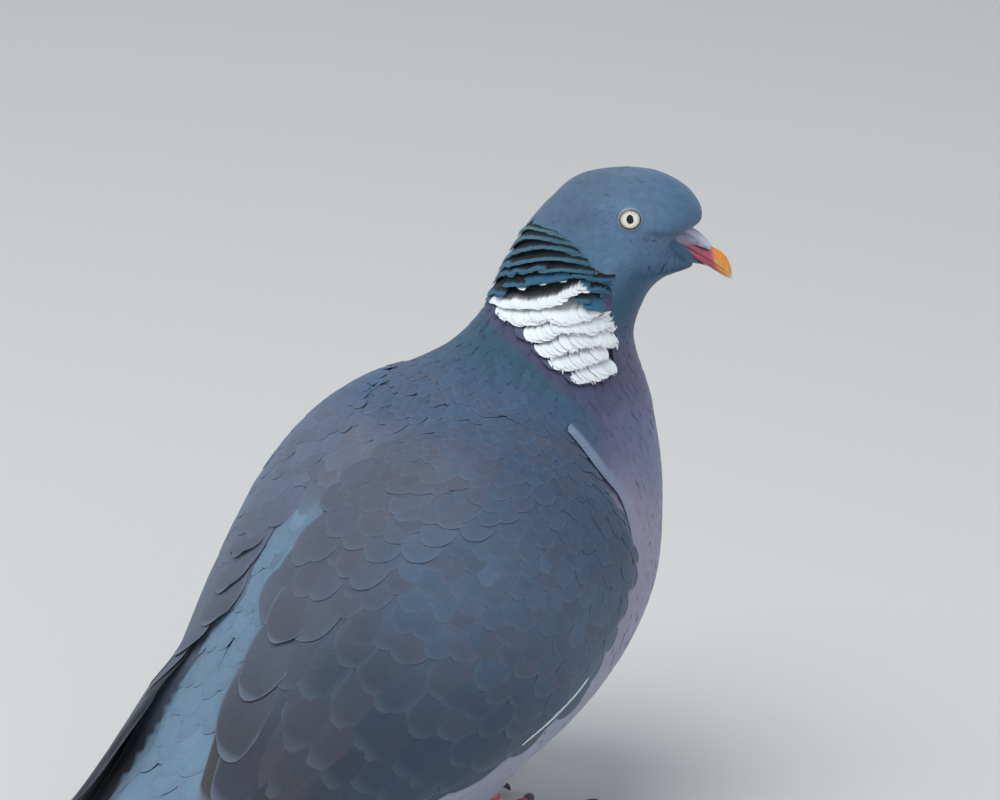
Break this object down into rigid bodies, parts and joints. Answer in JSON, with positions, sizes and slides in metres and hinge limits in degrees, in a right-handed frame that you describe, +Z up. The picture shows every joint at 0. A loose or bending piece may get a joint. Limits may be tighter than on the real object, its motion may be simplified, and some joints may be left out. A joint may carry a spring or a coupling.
{
  "type": "wood pigeon",
  "caption": "Life-size still model of a wood pigeon at rest, head turned to its right, wings folded, standing low on both feet with its tail laid on the floor.",
  "frame": {"origin": "centre of the bounding box's base, on the floor under the bird", "axes": "+Z up, the bird faces -Y with its tail towards +Y, its left side is +X"},
  "size_m": [0.1186, 0.3298, 0.1957],
  "materials": {
    "head_feathers": "short smooth blue-grey feathers",
    "neck_feathers": "grooved teal and purple feathers with a white patch on each side",
    "body_feathers": "soft mauve-pink breast feathers fading to blue-grey below",
    "wing_feathers": "grey-brown contour feathers with fine pale edges",
    "flight_feathers": "near-black long feathers with thin pale outer edges",
    "tail_feathers": "slate grey with a blackish end band",
    "leg_skin": "pink-red scaly skin with pale lines between scales",
    "claw_horn": "dark grey horn, satin",
    "bill_horn": "crimson-pink base and orange-yellow tip, satin",
    "cere_skin": "powdery whitish lavender swollen skin",
    "eye_surface": "pale cream-yellow iris and black pupil under a clear wet surface"
  },
  "bodies": {
    "root": {"head": "head_feathers", "neck": "neck_feathers", "trunk": "body_feathers", "tail": "tail_feathers", "cere": "cere_skin", "bill_upper": "bill_horn", "bill_lower": "bill_horn", "eye_left": "eye_surface", "wing_left": "wing_feathers", "primaries_left": "flight_feathers", "thigh_left": "body_feathers", "tarsus_left": "leg_skin", "foot_left": "leg_skin", "claw_inner_left": "claw_horn", "claw_middle_left": "claw_horn", "claw_outer_left": "claw_horn", "claw_hind_left": "claw_horn", "eye_right": "eye_surface", "wing_right": "wing_feathers", "primaries_right": "flight_feathers", "thigh_right": "body_feathers", "tarsus_right": "leg_skin", "foot_right": "leg_skin", "claw_inner_right": "claw_horn", "claw_middle_right": "claw_horn", "claw_outer_right": "claw_horn", "claw_hind_right": "claw_horn"}
  },
  "joints": []
}
